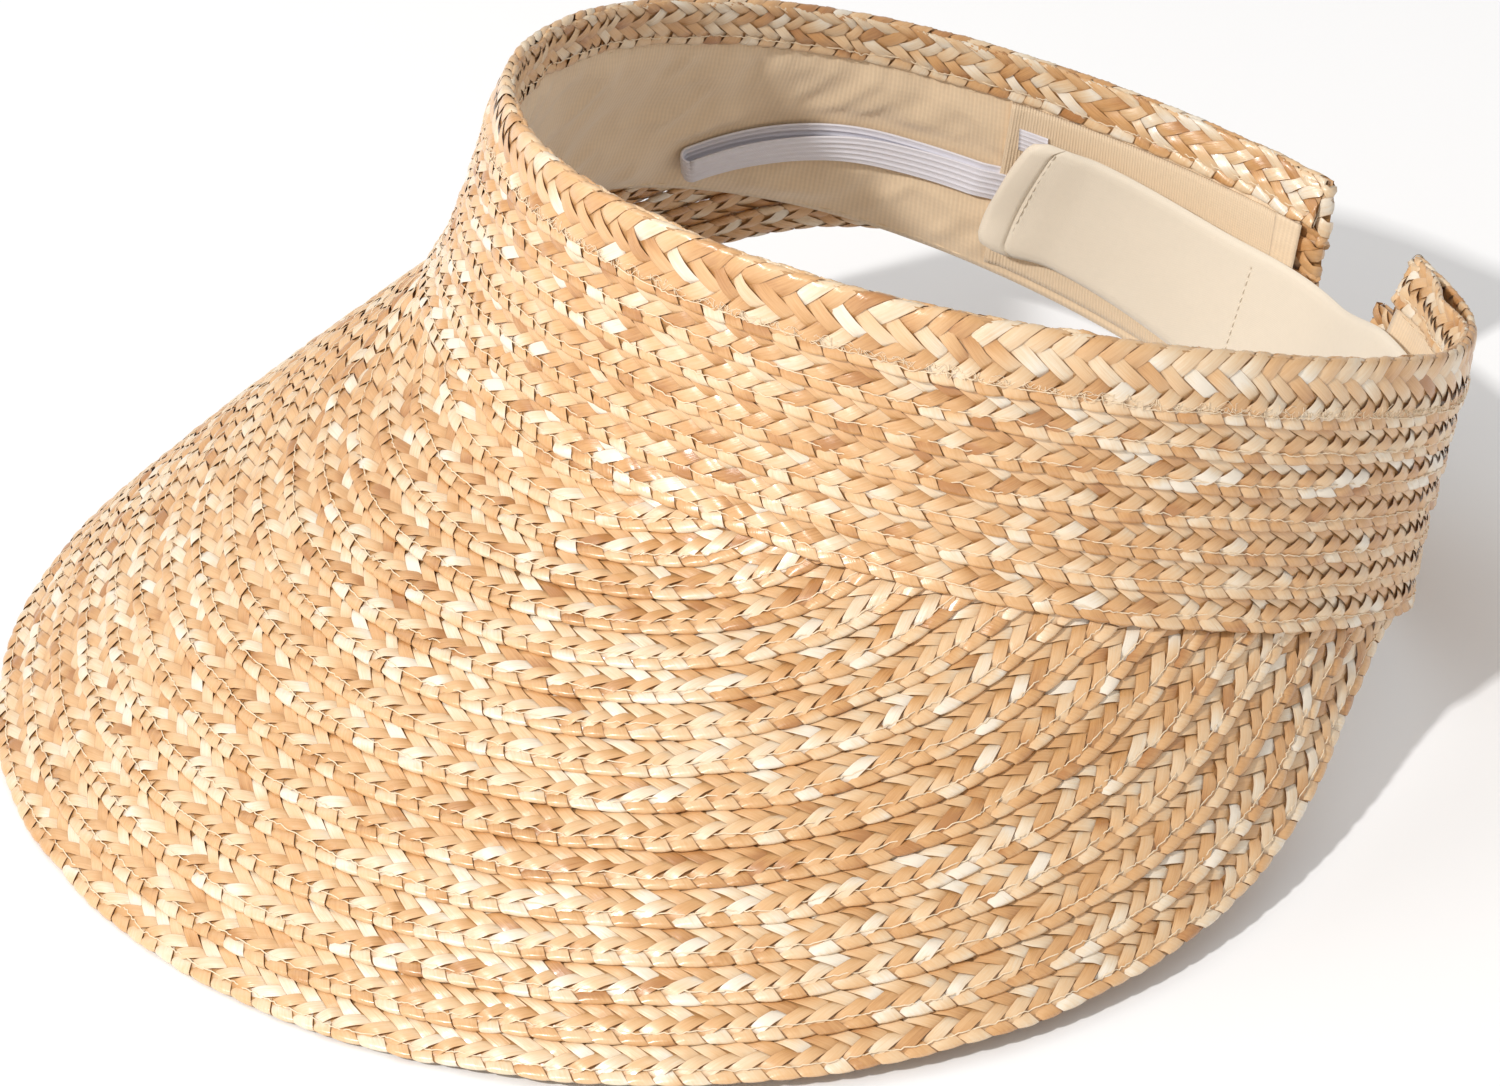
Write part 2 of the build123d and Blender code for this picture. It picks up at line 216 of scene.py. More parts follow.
def dense(low, high, lift, step=0.7):
    """Stations again on a smooth curve, about step apart."""
    n = len(low)
    d = np.concatenate([[0], np.cumsum(np.linalg.norm(np.diff(low + high, axis=0), axis=1) / 2)])
    u = np.linspace(0, d[-1], max(int(d[-1] / step), 8))
    k = np.clip(np.searchsorted(d, u, side="right") - 1, 0, n - 2)
    f = ((u - d[k]) / (d[k + 1] - d[k]))[:, None]

    def curve(p):
        p0, p1 = p[k], p[k + 1]
        span = (d[k + 1] - d[k])[:, None]
        km, kp = np.maximum(k - 1, 0), np.minimum(k + 2, n - 1)
        m0 = (p1 - p[km]) / (d[k + 1] - d[km])[:, None] * span
        m1 = (p[kp] - p0) / (d[kp] - d[k])[:, None] * span
        return (p0 * (2 * f ** 3 - 3 * f ** 2 + 1) + m0 * (f ** 3 - 2 * f ** 2 + f)
                + p1 * (3 * f ** 2 - 2 * f ** 3) + m1 * (f ** 3 - f ** 2))
    return curve(low), curve(high), curve(lift)


def crown_path(start, stop, v_low, v_high, o_low, o_high, step=2.0):
    a = np.linspace(start, stop, max(int(abs(stop - start) / step), 4))
    lo = lifted(a, v_low, o_low)
    hi = lifted(a, v_high, o_high(a) if callable(o_high) else o_high)
    path = Path(*dense(lo, hi, lift_dir(a, (v_low + v_high) / 2)))
    d = np.concatenate([[0], np.cumsum(np.linalg.norm(np.diff(lo + hi, axis=0), axis=1))])
    path.angle_at = lambda s: np.interp(s, d / d[-1] * path.length, a)
    return path


# ------------------------------------------------------------------ mesh collecting
class Pile:
    """Quads gathered from grids, with the straw's own coordinates on each point."""

    def __init__(self):
        self.p, self.f, self.uv, self.cell, self.tone, self.mat = [], [], [], [], [], []
        self.n = 0

    def grid(self, pts, uv, cell, tone, mat=0, flip=False):
        """pts (k, m, n, 3): k patches of m by n points."""
        k, m, n, _ = pts.shape
        idx = self.n + np.arange(k * m * n).reshape(k, m, n)
        q = [idx[:, :-1, :-1], idx[:, 1:, :-1], idx[:, 1:, 1:], idx[:, :-1, 1:]]
        if flip:
            q = q[::-1]
        quads = np.stack(q, -1).reshape(-1, 4)
        self.p.append(pts.reshape(-1, 3))
        self.f.append(quads)
        self.uv.append(np.broadcast_to(uv, (k, m, n, 2)).reshape(-1, 2))
        self.cell.append(np.broadcast_to(cell, (k, m, n, 2)).reshape(-1, 2))
        self.tone.append(np.broadcast_to(tone, (k, m, n)).reshape(-1))
        self.mat.append(np.full(len(quads), mat, np.int32))
        self.n += k * m * n

    def build(self, name, materials, weld=False):
        p = np.concatenate(self.p) * 0.001
        f = np.concatenate(self.f)
        me = bpy.data.meshes.new(name)
        me.vertices.add(len(p))
        me.vertices.foreach_set("co", p.astype(np.float32).ravel())
        me.loops.add(f.size)
        me.loops.foreach_set("vertex_index", f.ravel().astype(np.int32))
        me.polygons.add(len(f))
        me.polygons.foreach_set("loop_start", (np.arange(len(f)) * 4).astype(np.int32))
        me.update(calc_edges=True)
        me.polygons.foreach_set("material_index", np.concatenate(self.mat))
        me.polygons.foreach_set("use_smooth", np.ones(len(f), bool))
        for layer, data in (("grain", self.uv), ("cell", self.cell)):
            uvl = me.uv_layers.new(name=layer)
            uvl.data.foreach_set("uv", np.concatenate(data)[f.ravel()].astype(np.float32).ravel())
        t = me.attributes.new("tone", "FLOAT", "POINT")
        t.data.foreach_set("value", np.concatenate(self.tone).astype(np.float32))
        for m in materials:
            me.materials.append(m)
        if weld:
            bm = bmesh.new()
            bm.from_mesh(me)
            bmesh.ops.remove_doubles(bm, verts=bm.verts, dist=2e-6)
            bm.to_mesh(me)
            bm.free()
        ob = bpy.data.objects.new(name, me)
        bpy.context.scene.collection.objects.link(ob)
        return ob


def band_mesh(name, material, pts, along_uv, across_uv, n_side, flip_last=True):
    """A closed band of cloth with flat ends: each ring is n_side points on one face and n_side back."""
    uv = np.zeros(pts.shape[:3] + (2,))
    uv[..., 0] = along_uv
    uv[..., 1] = across_uv
    pile = Pile()
    pile.grid(pts, uv, uv * 0 + 0.5, np.zeros(pts.shape[:3]) + 0.5)
    last = pts.shape[1] - 1
    for end in (0, last):
        ring = pts[0, end]
        cap = np.stack([ring[:n_side], ring[n_side:2 * n_side][::-1]], 0)[None]
        z = np.zeros(cap.shape[:3] + (2,))
        pile.grid(cap, z, z + 0.5, np.zeros(cap.shape[:3]) + 0.5, 0, (end == last) == flip_last)
    return pile.build(name, [material], weld=True)


# ------------------------------------------------------------------ plait
CORE_MAT, SEWING_MAT = 1, 2


def strand_tones(cells):
    """Tone of each crossing of the seven straws: a straw keeps its tone until a new one is laid in."""
    out = np.zeros((7, cells + 60))
    for k in range(7):
        i = 0
        while i < out.shape[1]:
            run = int(rng.integers(10, 34))
            kind = rng.random()
            mean, spread = next(row[1:] for row in STRAW_TONES if kind < row[0])
            out[k, i:i + run] = rng.normal(mean, spread)
            i += run
    return out


def fold_edge(w, h, thick=PLY):
    """Carry points below w 0 round the rim to the other face, over a fold of the given thickness."""
    half = thick / 2
    rho = h - (PLY - half)
    past = half - w
    arc = math.pi * half * 1.1
    phi = np.clip(past / arc, 0, 1) * math.pi
    back = np.maximum(past - arc, 0)
    w2 = np.where(past > 0, half - rho * 1.05 * np.sin(phi) + back, w)
    h2 = np.where(past > 0, PLY - half + rho * np.cos(phi), h)
    return w2, h2


def level(m, levels):
    """Distance across the row of half crossing m, which may lie between or past the listed ones."""
    k = np.clip(np.floor(m).astype(int) + 2, 0, len(levels) - 2)
    return levels[k] + (levels[k + 1] - levels[k]) * (m - (k - 2))


def plait(pile, path, pitch, face, tones, levels=LEVELS, tops=(("fall", 4, 2),),
          phase=0.0, fine=1.0, rim=None):
    """Straw crossings of a seven-end plait. face 1 lies on the outer face from the lower rim, -1 on the inner
    face from the upper rim. The cells lean one way, then the other; each straw creases where it crests."""
    width = path.width
    for kind, m0, units in (("fall", 0, 2), ("rise", 2, 2)) + tuple(tops):
        k = np.arange(-4, int(path.length / pitch) + 6)
        n = len(k)
        low_rim, top_rim = m0 == 0, m0 == 6
        plain = not (low_rim or top_rim)
        past = 0.24 if plain else 0.7 if low_rim else 1.2
        p = np.linspace(-0.24, units + past, int((9 if units > 1 else 6) * fine) + 1)[None, :, None]
        r = np.linspace(0, 1, int(4 * fine) + 1)[None, None, :]
        squeeze = 0.004 + 0.022 * rng.random((n, 1, 1))
        rr = squeeze + 0.05 * (rng.random((n, 1, 1)) - 0.5) + (1 - 2 * squeeze) * r
        kk = k[:, None, None].astype(float)
        skew = 0.18 * (rng.random((n, 1, 1)) - 0.5)
        run = (rr + p + skew * (p - units / 2)) * 0.5
        if kind == "rise":
            s = (kk + m0 / 2 + run) * pitch
            w = level(m0 - rr + p, levels)
        else:
            big = m0 + units - 1
            s = (kk - big / 2 + run) * pitch
            w = level(big + rr - p, levels)
        if low_rim:
            s = s - 1.05 * (levels[4] - w)
        s = s + phase * pitch
        crest = 0.50 + 0.16 * (rng.random((n, 1, 1)) - 0.5)
        f = np.clip(p / units, 0, 1)
        ridge = np.where(f < crest, f / crest, (1 - f) / (1 - crest))
        ridge = 1.06 - np.sqrt((1 - ridge) ** 2 + 0.0036)
        over = smooth(p / 0.42) * (smooth((units - p) / 0.42) if plain else 1.0)
        bow = 1 - (2 * r - 1) ** 2
        tall = (0.48 if m0 == 2 else 0.32 if plain else 0.10) * (0.7 + 0.6 * rng.random((n, 1, 1)))
        wide = 0.13 if plain else 0.24
        lift = 0.08 * (rng.random((n, 1, 1)) - 0.5)
        roll = 0.50 * (rng.random((n, 1, 1)) - 0.5)
        h = STRAW_FLAT + 0.24 * over + tall * ridge + wide * bow + lift + roll * (r - 0.5)
        h = h - 0.25 * np.clip(-p, 0, 1) - (0.25 if plain else 0) * np.clip(p - units, 0, 1)
        s, w, h = np.broadcast_arrays(s, w, h)
        middle = s.mean((1, 2))
        keep = (middle > -0.2 * pitch) & (middle < path.length + 0.2 * pitch)
        s, w, h = s[keep], w[keep], h[keep]
        if low_rim:
            w, h = fold_edge(w, h)
        elif top_rim:
            w, h = fold_edge(width - w, h, PLY if rim is None else rim(s))
            w = width - w
        else:
            w = np.minimum(w, width - 0.2)
        s = np.clip(s, 0.0, path.length)
        if face < 0:
            w, h = width - w, PLY - h
        tone = tones[(k % 7)[keep], np.clip(k[keep] + 30, 0, tones.shape[1] - 1)]
        tone = tone + 0.08 * rng.standard_normal(len(tone))
        seed = rng.random((keep.sum(), 1, 1)) * 50.0
        shape = w.shape
        grain = np.stack([np.broadcast_to(p * 2.6, shape) + seed * 11.0,
                          np.broadcast_to(r * 2.6, shape) + seed * 7.0], -1)
        along_cell = np.broadcast_to(f if plain else f * 0.5, shape)
        cell = np.stack([along_cell, np.broadcast_to(r, shape)], -1)
        swing = TONE_SWING * rng.standard_normal((len(tone), 1, 1))
        shade = np.broadcast_to(tone[:, None, None] + swing * (f - 0.5), shape)
        pile.grid(path.at(s, w, h), grain, cell, shade, 0, (kind == "rise") != (face < 0))


def core(pile, path, s0=0.0, s1=None, h0=0.33, h1=0.62, w0=0.35, w1=None):
    """The hidden straw between the two faces, a closed flat strip."""
    s1 = path.length if s1 is None else s1
    w1 = path.width - 0.35 if w1 is None else w1
    n = max(int((s1 - s0) / 2.0), 3)
    s = np.linspace(s0 + 0.15, s1 - 0.15, n)
    ring = [(w0, h0), (w0, h1), ((w0 + w1) / 2, h1), (w1, h1), (w1, h0), ((w0 + w1) / 2, h0), (w0, h0)]
    pts = np.stack([path.at(s, np.full(n, w), np.full(n, h)) for w, h in ring], 1)[None]
    zero = np.zeros(pts.shape[:3] + (2,))
    zero[..., 0] = s[None, :, None]
    # the core's low tone of 0.25 is painted shade: where it shows between crossings it reads as shaded
    # crevices
    pile.grid(pts, zero, zero * 0 + 0.5, np.zeros(pts.shape[:3]) + 0.25, CORE_MAT, True)


def tube(pile, c, up, radius, along_uv, mat=0, sides=5, tone=0.9, around_uv=0.0):
    """A round thread along the points c, with up as the direction off the cloth."""
    t = unit(np.gradient(c, axis=0))
    up = unit(up - t * (up * t).sum(-1, keepdims=True))
    side = np.cross(t, up)
    ang = np.linspace(0, 2 * math.pi, sides + 1)
    around = up[:, None] * np.sin(ang)[None, :, None] + side[:, None] * np.cos(ang)[None, :, None]
    pts = (c[:, None] + radius * around)[None]
    uv = np.zeros(pts.shape[:3] + (2,))
    uv[..., 0] = along_uv[None, :, None]
    uv[..., 1] = around_uv * ang[None, None, :]
    pile.grid(pts, uv, uv * 0 + 0.5, np.zeros(pts.shape[:3]) + tone, mat, True)


def thread(pile, path, w, h, s, radius, sides=5):
    """A fine sewing thread over a strip, at width w and height h at each s."""
    c = path.at(s, w, h)
    up = path.at(s, w, h + 1.0) - c
    tube(pile, c, up, radius, np.arange(len(s)) * 0.5, SEWING_MAT, sides, around_uv=1.0)


def row_stitch(pile, path, w0=2.35, spread=0.28, radius=0.115):
    """The thread that sews a row to the next: it shows as short uneven stitches."""
    n = int((path.length - 2.0) / 0.6)
    if n < 6:
        return
    s = np.linspace(1.0, path.length - 1.0, n)
    slow = np.interp(s, path.knots, rng.standard_normal(len(path.knots)))
    w = w0 + spread * slow + 0.10 * rng.standard_normal(n)
    beat = np.sin(s * (2 * math.pi / 4.4) + 1.6 * slow + 6 * rng.random())
    h = PLY + 0.10 + 0.32 * np.clip(beat + 0.35, -1.2, 0.5)
    thread(pile, path, w, h, s, radius)


def loops(pile, path, w0=3.2, tall=0.5, radius=0.06):
    """The overlock seam that holds the lining: tangled runs of small loops along the top row's lower part."""
    n = int(path.length / 0.18)
    s = np.linspace(1.0, path.length - 1.0, n)
    for pitch, lag, place in ((1.35, 0.0, 0.15), (1.75, 1.9, -0.25), (2.6, 0.7, 0.4)):
        f = s * 2 * math.pi / pitch + lag
        big = 1 + 0.45 * np.interp(s, path.knots, rng.standard_normal(len(path.knots)))
        drift = 0.3 * np.interp(s, path.knots, rng.standard_normal(len(path.knots)))
        along_s = s + 0.5 * np.sin(f * 0.5) * big
        loop = tall * big * np.sin(f + 0.8 * np.sin(f * 0.31))
        w = w0 + place + drift + loop + 0.08 * rng.standard_normal(n)
        h = PLY + 0.30 + 0.12 * np.cos(f)
        thread(pile, path, w, h, np.clip(along_s, 0.5, path.length - 0.5), radius, sides=4)


# ------------------------------------------------------------------ materials
def nodes_of(name):
    m = bpy.data.materials.new(name)
    m.use_nodes = True
    nt = m.node_tree
    return m, nt, nt.nodes["Principled BSDF"]


def link(nt, a, b):
    nt.links.new(a, b)


def math_node(nt, op, a, b=None, clamp=False):
    n = nt.nodes.new("ShaderNodeMath")
    n.operation = op
    n.use_clamp = clamp
    for i, x in enumerate((a, b)):
        if x is None:
            continue
        if isinstance(x, (int, float)):
            n.inputs[i].default_value = x
        else:
            nt.links.new(x, n.inputs[i])
    return n.outputs[0]


def ramp(nt, fac, stops):
    n = nt.nodes.new("ShaderNodeValToRGB")
    e = n.color_ramp.elements
    while len(e) < len(stops):
        e.new(0.5)
    for el, (pos, col) in zip(e, stops):
        el.position = pos
        el.color = (*col, 1)
    nt.links.new(fac, n.inputs[0])
    return n.outputs[0]


def mix(nt, fac, a, b, mode="MIX"):
    n = nt.nodes.new("ShaderNodeMix")
    n.data_type = "RGBA"
    n.blend_type = mode
    for socket, x in ((n.inputs[0], fac), (n.inputs[6], a), (n.inputs[7], b)):
        if isinstance(x, (int, float)):
            socket.default_value = x
        elif isinstance(x, tuple):
            socket.default_value = (*x, 1)
        else:
            nt.links.new(x, socket)
    return n.outputs[2]


def noise(nt, vector, scale, detail=3.0, rough=0.55):
    n = nt.nodes.new("ShaderNodeTexNoise")
    n.inputs["Scale"].default_value = scale
    n.inputs["Detail"].default_value = detail
    n.inputs["Roughness"].default_value = rough
    nt.links.new(vector, n.inputs["Vector"])
    return n.outputs["Fac"]


def swing_of(nt, value, gain):
    """A 0 to 1 value as a swing either side of nothing."""
    return math_node(nt, "MULTIPLY", math_node(nt, "SUBTRACT", value, 0.5), gain)


def uv_parts(nt, layer):
    uv = nt.nodes.new("ShaderNodeUVMap")
    uv.uv_map = layer
    sep = nt.nodes.new("ShaderNodeSeparateXYZ")
    link(nt, uv.outputs[0], sep.inputs[0])
    return sep.outputs[0], sep.outputs[1]


def stretched(nt, layer, sx, sy):
    uv = nt.nodes.new("ShaderNodeUVMap")
    uv.uv_map = layer
    mp = nt.nodes.new("ShaderNodeMapping")
    mp.inputs["Scale"].default_value = (sx, sy, 1)
    nt.links.new(uv.outputs[0], mp.inputs["Vector"])
    return mp.outputs[0]


def straw_material(name, dark=1.0):
    m, nt, bsdf = nodes_of(name)
    tone = nt.nodes.new("ShaderNodeAttribute")
    tone.attribute_name = "tone"
    fibre = noise(nt, stretched(nt, "grain", 0.16, 3.2), 1.0, 4.0, 0.62)
    coarse = noise(nt, stretched(nt, "grain", 0.22, 0.5), 1.0, 2.0)
    t = math_node(nt, "ADD", tone.outputs["Fac"], swing_of(nt, coarse, 0.30))
    t = math_node(nt, "ADD", t, swing_of(nt, fibre, 0.46), clamp=True)
    stops = ((0.0, (0.46, 0.205, 0.065)), (0.22, (0.63, 0.34, 0.135)), (0.45, (0.73, 0.445, 0.215)),
             (0.68, (0.78, 0.55, 0.325)), (0.86, (0.82, 0.665, 0.475)), (1.0, (0.86, 0.765, 0.63)))
    # dark scales every colour down; the core's material uses it to paint shade into the gaps between
    # crossings
    col = ramp(nt, t, [(at, tuple(c * dark for c in rgb)) for at, rgb in stops])
    # painted shade: each crossing darkens to dark brown along its sides and ends, standing for the shade in
    # the crevices between crossings
    along_cell, across_cell = uv_parts(nt, "cell")
    side = math_node(nt, "MINIMUM", across_cell, math_node(nt, "SUBTRACT", 1.0, across_cell))
    tip = math_node(nt, "MINIMUM", along_cell, math_node(nt, "SUBTRACT", 1.0, along_cell))
    a = math_node(nt, "DIVIDE", side, 0.03, clamp=True)
    b = math_node(nt, "DIVIDE", math_node(nt, "ADD", tip, 0.02), 0.04, clamp=True)
    clear = math_node(nt, "MULTIPLY", a, b, clamp=True)
    col = mix(nt, clear, (0.42 * dark, 0.185 * dark, 0.06 * dark), col)
    link(nt, col, bsdf.inputs["Base Color"])
    rough = math_node(nt, "ADD", math_node(nt, "MULTIPLY", fibre, 0.18), 0.22)
    link(nt, rough, bsdf.inputs["Roughness"])
    bsdf.inputs["Specular IOR Level"].default_value = 0.8
    bsdf.inputs["Coat Weight"].default_value = 0.35
    bsdf.inputs["Coat Roughness"].default_value = 0.18
    bump = nt.nodes.new("ShaderNodeBump")
    bump.inputs["Strength"].default_value = 0.55
    bump.inputs["Distance"].default_value = 0.00016
    fine = noise(nt, stretched(nt, "grain", 0.12, 5.0), 1.0, 3.0, 0.6)
    link(nt, fine, bump.inputs["Height"])
    link(nt, bump.outputs[0], bsdf.inputs["Normal"])
    return m


def plain_material(name, colour, rough=0.8, sheen=0.0, weave=None, bump=0.2, variation=0.12, distance=0.0001):
    """Cloth or thread: a small weave in the piece's own coordinates (mm) with soft colour variation."""
    m, nt, bsdf = nodes_of(name)
    geo = nt.nodes.new("ShaderNodeTexCoord")
    big = noise(nt, geo.outputs["Object"], 60.0, 3.0)
    small = noise(nt, geo.outputs["Object"], 900.0, 2.0)
    v = math_node(nt, "ADD", swing_of(nt, big, variation), swing_of(nt, small, variation * 0.8))
    shade = math_node(nt, "ADD", v, 1.0)
    height = small
    if weave:
        su, sv, mode = weave
        along_mm, across_mm = uv_parts(nt, "grain")
        wu = math_node(nt, "SINE", math_node(nt, "MULTIPLY", along_mm, 2 * math.pi / su))
        wv = math_node(nt, "SINE", math_node(nt, "MULTIPLY", across_mm, 2 * math.pi / sv))
        if mode == "rib":
            wave = math_node(nt, "MULTIPLY", wu, 0.9)
            wave = math_node(nt, "ADD", wave, math_node(nt, "MULTIPLY", wv, 0.25))
        else:
            wave = math_node(nt, "MULTIPLY", wu, wv)
        height = math_node(nt, "MULTIPLY", wave, 0.5)
        height = math_node(nt, "ADD", height, math_node(nt, "MULTIPLY", small, 0.7))
        # painted shade and highlight: the colour follows the weave's height, lighter on its ridges and darker
        # in its hollows
        shade = math_node(nt, "ADD", shade, math_node(nt, "MULTIPLY", wave, 0.045 if mode == "rib" else 0.03))
    comb = nt.nodes.new("ShaderNodeCombineColor")
    for i in range(3):
        link(nt, shade, comb.inputs[i])
    col = mix(nt, 1.0, colour, comb.outputs[0], "MULTIPLY")
    link(nt, col, bsdf.inputs["Base Color"])
    bsdf.inputs["Roughness"].default_value = rough
    bsdf.inputs["Specular IOR Level"].default_value = 0.3
    bsdf.inputs["Sheen Weight"].default_value = sheen
    bsdf.inputs["Sheen Roughness"].default_value = 0.5
    bp = nt.nodes.new("ShaderNodeBump")
    bp.inputs["Strength"].default_value = bump
    bp.inputs["Distance"].default_value = distance
    link(nt, height, bp.inputs["Height"])
    link(nt, bp.outputs[0], bsdf.inputs["Normal"])
    return m


straw = straw_material("straw")
# painted shade: the hidden core strip is darkened to 0.8 so the gaps between crossings look like shaded
# crevices
shaded_straw_core = straw_material("shaded_straw_core", dark=0.8)
sewing = plain_material("sewing_thread", (0.84, 0.68, 0.48), 0.55, 0.1, None, 0.3, 0.25)
straw_mats = [straw, shaded_straw_core, sewing]
cotton = plain_material("lining_cotton", (0.82, 0.64, 0.44), 0.45, 0.3, (0.8, 1.1, "rib"), 0.3, 0.10)
ribbed = plain_material("loop_fabric", (0.80, 0.63, 0.44), 0.62, 0.25, (0.62, 0.5, "rib"), 0.55, 0.08, 0.0002)
strap_cloth = plain_material("strap_fabric", (0.785, 0.70, 0.575), 0.7, 0.3, (0.5, 0.5, "plain"), 0.18, 0.06)
hook_cloth = plain_material("hook_tape", (0.78, 0.70, 0.56), 0.55, 0.1, (0.9, 0.9, "plain"), 0.9, 0.1, 0.0004)
white_rib = plain_material("elastic_white", (0.80, 0.79, 0.86), 0.5, 0.15, (0.5, 0.5, "plain"), 0.2, 0.05)


# ------------------------------------------------------------------ crown rows
def crown_offsets(k):
    if k == CROWN_ROWS:
        return SET + 1.15, SET - 0.25
    return SET + PLY + AIR, (SET if k == 1 else SET - LAP * TILT)


def end_turn(a_end, a_back, v_low, v_high, o_low, o_high, gap=1.8):
    """A row turned in round the band end: half a turn, then back along the inside."""
    sign = 1.0 if a_end > 0 else -1.0
    v_mid = (v_low + v_high) / 2
    lo = lifted(a_end, v_low, o_low)
    hi = lifted(a_end, v_high, o_high)
    n = lift_dir(a_end, v_mid)
    x = unit(hi - lo)
    n = unit(n - x * (n * x).sum())
    near = (lifted(a_end - sign, v_low, o_low) + lifted(a_end - sign, v_high, o_high)) / 2
    t = unit((lo + hi) / 2 - near)
    t = unit(t - x * (t * x).sum() - n * (t * n).sum())
    r = gap / 2
    lows, highs, lifts = [], [], []
    for phi in np.linspace(0, math.pi, 9):
        nn = n * math.cos(phi) + t * math.sin(phi)
        move = t * r * math.sin(phi) - n * r * (1 - math.cos(phi))
        inner = n * (PLY / 2) - nn * (PLY / 2) + move
        lows.append(lo + inner)
        highs.append(hi + inner)
        lifts.append(nn)
    for a in np.linspace(a_end, a_back, 8)[1:]:
        nn = lift_dir(a, v_mid)
        lows.append(lifted(a, v_low, o_low + PLY - gap))
        highs.append(lifted(a, v_high, o_high + PLY - gap))
        lifts.append(-nn)
    return Path(*dense(np.array(lows), np.array(highs), np.array(lifts), 0.35))


def top_roll(path):
    """Thickness of the rolled top edge: both plies together, but one where the near end's slit is open."""
    return lambda s: PLY + 1.2 * (1 - smooth(1 - np.abs(path.angle_at(s) - SLIT) / 12.0))


straw_pieces = []
ends = {"near": Pile(), "far": Pile()}
TOP_ROW = {"levels": TOP_LEVELS, "tops": (("fall", 4, 2), ("rise", 6, 2))}
for k in range(1, CROWN_ROWS + 1):
    top = 0.0 if k == 1 else ROW * k - LAP
    low = ROW * (k + 1)
    o_low, o_top = crown_offsets(k)
    last = END_NEAR + (2.0 if k == 1 else 4.0)
    path = crown_path(-END_FAR, last, low, top, o_low, o_top)
    pitch = CROWN_PITCH * (1 + 0.05 * (rng.random() - 0.5))
    tones = strand_tones(int(path.length / pitch) + 10)
    pile = Pile()
    core(pile, path)
    extra = TOP_ROW if k == 1 else {}
    plait(pile, path, pitch, 1, tones, phase=rng.random(), rim=top_roll(path), **extra)
    row_stitch(pile, path)
    if k == 1:
        loops(pile, path)
    ob = pile.build(f"plait_crown_{k}", straw_mats)
    straw_pieces.append((ob, f"crown_row_{k}", "crown_straw"))
    for side, a_end, a_back in (("near", last, 143.8), ("far", -END_FAR, -162.2)):
        turn_path = end_turn(a_end, a_back, low, max(top, 1.0), o_low, o_top)
        core(ends[side], turn_path)
        plait(ends[side], turn_path, pitch, 1, tones, phase=rng.random(), **extra)


def fold_off(a):
    """How far the turned-over ply stands off the band; it drops away where the slit is open."""
    return 0.5 - 3.2 * smooth(1 - np.abs(a - SLIT) / 9.0)


fold_a = np.linspace(-END_FAR + 0.5, END_NEAR + 1.4, 310)
fold_low = lifted(fold_a, 10.0, -0.75)
fold_high = lifted(fold_a, 0.3, fold_off(fold_a) + PLY)
path = Path(*dense(fold_low, fold_high, -lift_dir(fold_a, 5.0)), uneven=1.8)
pile = Pile()
core(pile, path)
tones = strand_tones(130)
plait(pile, path, FOLD_PITCH, 1, tones, phase=0.3, tops=(("fall", 4, 2), ("rise", 6, 2)))
plait(pile, path, FOLD_PITCH, -1, tones, phase=0.3, tops=(("fall", 4, 3),), fine=0.8)
row_stitch(pile, path)
ob = pile.build("plait_rim_fold", straw_mats)
straw_pieces.append((ob, "rim_fold", "crown_straw"))
for side in ("near", "far"):
    ob = ends[side].build(f"plait_end_{side}", straw_mats)
    straw_pieces.append((ob, f"end_turn_{side}", "turned_straw"))


# ------------------------------------------------------------------ brim rows
def march(a, v, step):
    """The line a step further up the shell, square to the line a, v."""
    p = base(a, v)
    t = np.empty_like(p)
    t[1:-1] = p[2:] - p[:-2]
    t[0], t[-1] = p[1] - p[0], p[-1] - p[-2]
    xa, xv = across(a, v), along(a, v)
    k = (xv * t).sum(-1) / (xa * t).sum(-1)
    b = step / np.linalg.norm(xv - xa * k[:, None], axis=-1)
    return a + b * k, v - b


EDGE_N = 96                                     # steps along the brim's outer edge
i = np.arange(EDGE_N + 1)
a_low = -BRIM_END * np.cos(math.pi * i / EDGE_N) * 0.998
u = np.minimum(np.abs(a_low) / BRIM_END, 1.0)
v_low = CROWN_H + BRIM_W * (1 - u ** BRIM_P) ** BRIM_Q
for k in range(BRIM_ROWS, 0, -1):
    a_up, v_up = march(*march(a_low, v_low, ROW / 2), ROW / 2)
    a_lap, v_lap = march(a_up, v_up, LAP)
    tuck_v = CROWN_H - TUCK
    inside = np.nonzero(v_low >= tuck_v)[0]
    i0, i1 = inside[0], inside[-1]
    lo_i, hi_i = float(i0), float(i1)
    if i0 > 0:
        lo_i = i0 - (v_low[i0] - tuck_v) / (v_low[i0] - v_low[i0 - 1])
    if i1 < EDGE_N:
        hi_i = i1 + (v_low[i1] - tuck_v) / (v_low[i1] - v_low[i1 + 1])
    n = max(8, int((hi_i - lo_i) / 2.4))
    at_i = np.linspace(lo_i, hi_i, n + 1)
    al, vl = np.interp(at_i, i, a_low), np.interp(at_i, i, v_low)
    ah, vh = np.interp(at_i, i, a_lap), np.interp(at_i, i, v_lap)
    lo = lifted(al, vl, ROW * TILT)
    hi = lifted(ah, vh, -LAP * TILT + 0.22)
    path = Path(*dense(lo, hi, lift_dir((al + ah) / 2, (vl + vh) / 2)))
    pitch = BRIM_PITCH * (1 + 0.06 * (rng.random() - 0.5))
    tones = strand_tones(int(path.length / pitch) + 10)
    pile = Pile()
    core(pile, path)
    plait(pile, path, pitch, 1, tones, phase=rng.random())
    plait(pile, path, pitch, -1, tones, phase=rng.random(), fine=0.8)
    row_stitch(pile, path)
    ob = pile.build(f"plait_brim_{k:02d}", straw_mats)
    straw_pieces.append((ob, f"brim_row_{k:02d}", "brim_straw"))
    a_low, v_low = a_up, v_up

for ob, node, slot in straw_pieces:
    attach(ob, "visor")
    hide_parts(node)


